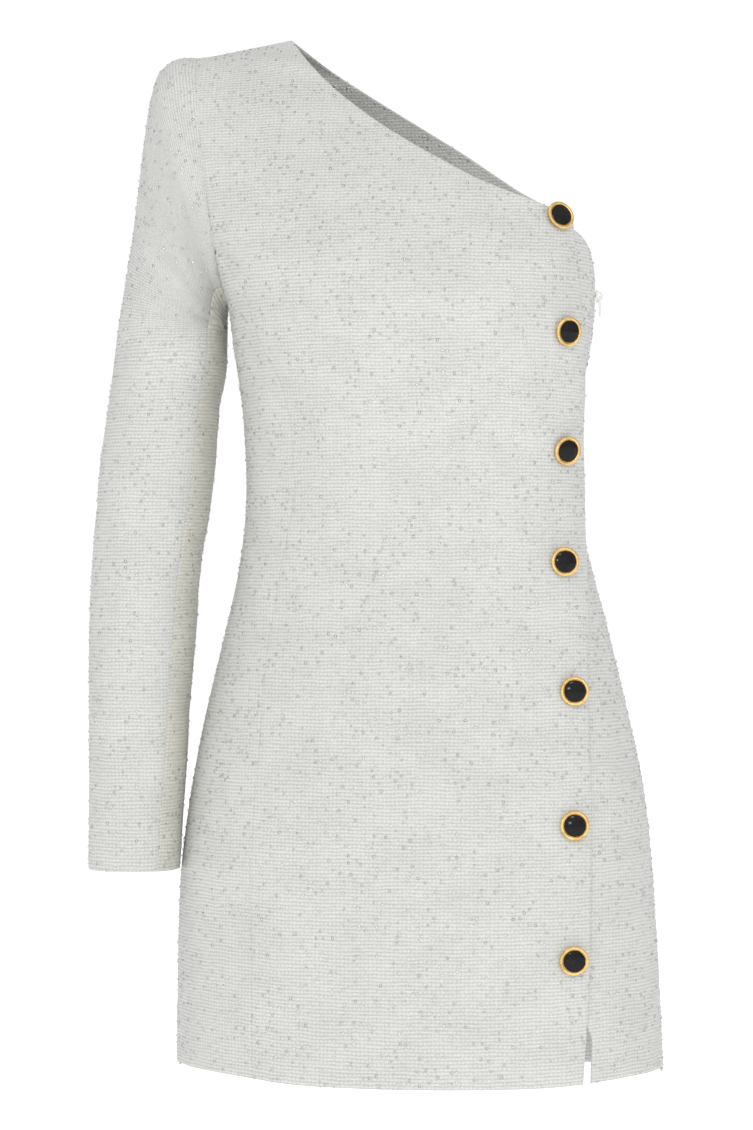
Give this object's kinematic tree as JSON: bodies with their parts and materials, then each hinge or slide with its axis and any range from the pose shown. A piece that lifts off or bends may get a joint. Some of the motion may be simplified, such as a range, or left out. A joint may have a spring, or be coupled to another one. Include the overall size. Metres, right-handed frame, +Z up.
{
  "type": "one-shoulder long-sleeve mini dress",
  "caption": "Hollow one-shoulder mini dress in sequinned tweed-like cloth, with one long two-piece sleeve, an overlapped front edge with domed buttons, a hem slit and a side zip.",
  "frame": {"origin": "under the wearer's right shoulder seam, at the middle of its length, where a form or a hanger holds the dress", "axes": "+Z up, +X to the wearer's left, -Y to the front"},
  "size_m": [0.4691, 0.259, 0.8615],
  "materials": {
    "ivory_cloth": "matt woven cloth with fine glittering sequins",
    "cream_cloth": "the same cloth in a slightly warmer tone",
    "gold_metal": "polished fluted gold-coloured metal",
    "black_gloss": "polished black dome",
    "white_zip": "smooth white paint"
  },
  "bodies": {
    "dress": {"front_panel": "ivory_cloth", "side_front_right": "ivory_cloth", "side_front_left": "ivory_cloth", "back_panel": "ivory_cloth", "sleeve_top": "ivory_cloth", "sleeve_under": "cream_cloth", "button_1_rim": "gold_metal", "button_1_inset": "black_gloss", "button_2_rim": "gold_metal", "button_2_inset": "black_gloss", "button_3_rim": "gold_metal", "button_3_inset": "black_gloss", "button_4_rim": "gold_metal", "button_4_inset": "black_gloss", "button_5_rim": "gold_metal", "button_5_inset": "black_gloss", "button_6_rim": "gold_metal", "button_6_inset": "black_gloss", "button_7_rim": "gold_metal", "button_7_inset": "black_gloss", "zip_slider": "white_zip"},
    "zip_pull": {"zip_pull_tab": "white_zip"}
  },
  "joints": [
    {"name": "pull_swing", "type": "hinge", "parent": "dress", "child": "zip_pull", "pos_m": [0.29413, -0.015, -0.206], "axis": [0, -1, 0], "range_deg": [-4, 150]}
  ]
}
